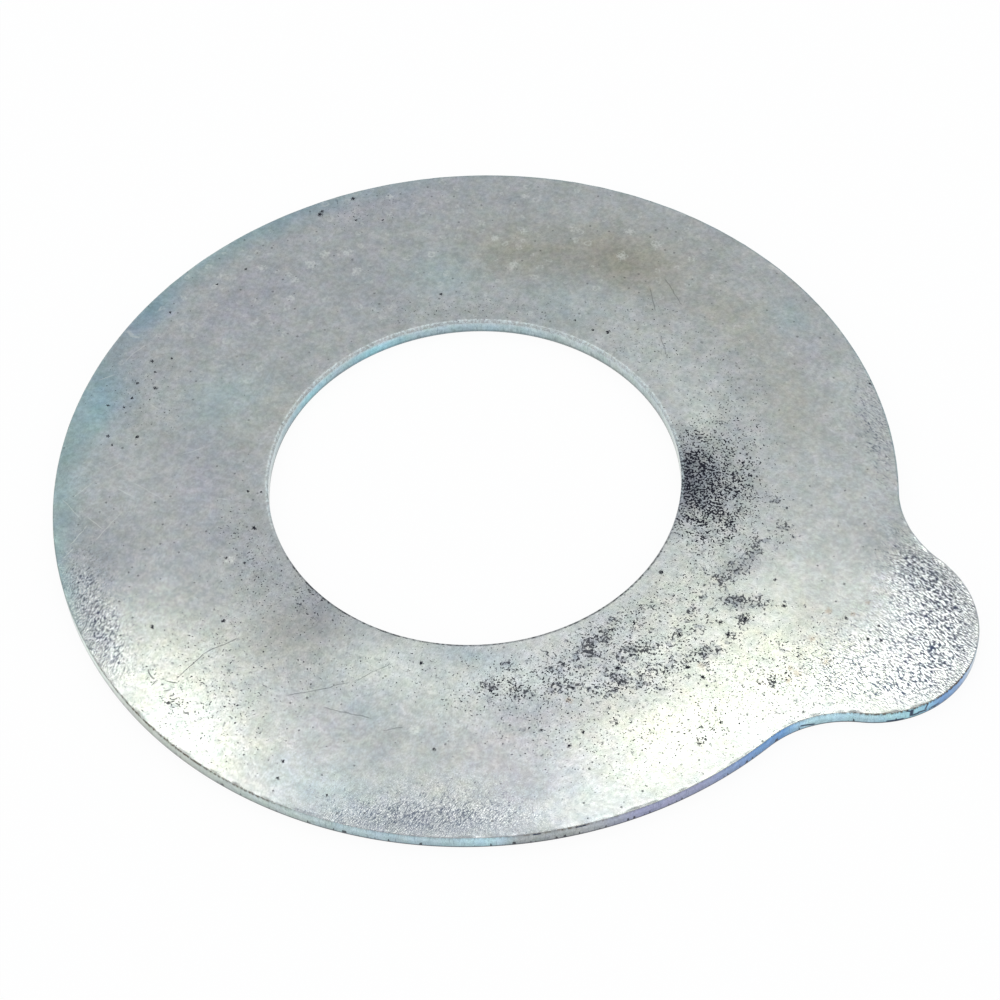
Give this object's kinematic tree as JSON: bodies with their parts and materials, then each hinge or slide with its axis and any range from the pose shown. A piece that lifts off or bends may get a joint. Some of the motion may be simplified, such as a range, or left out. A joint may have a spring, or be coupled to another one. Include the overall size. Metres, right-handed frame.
{
  "type": "washer",
  "caption": "Flat steel washer with a large central bore and one rounded ear blended into its rim.",
  "frame": {"origin": "centre of the bore, on the underside", "axes": "+Z along the bore's axis towards the top face, +X from the bore's centre through the ear"},
  "size_m": [0.1125, 0.1, 0.002],
  "materials": {
    "zinc_plate": "satin zinc plating with fine grain, corroded specks and dark stains"
  },
  "bodies": {
    "root": {"washer": "zinc_plate"}
  },
  "joints": []
}
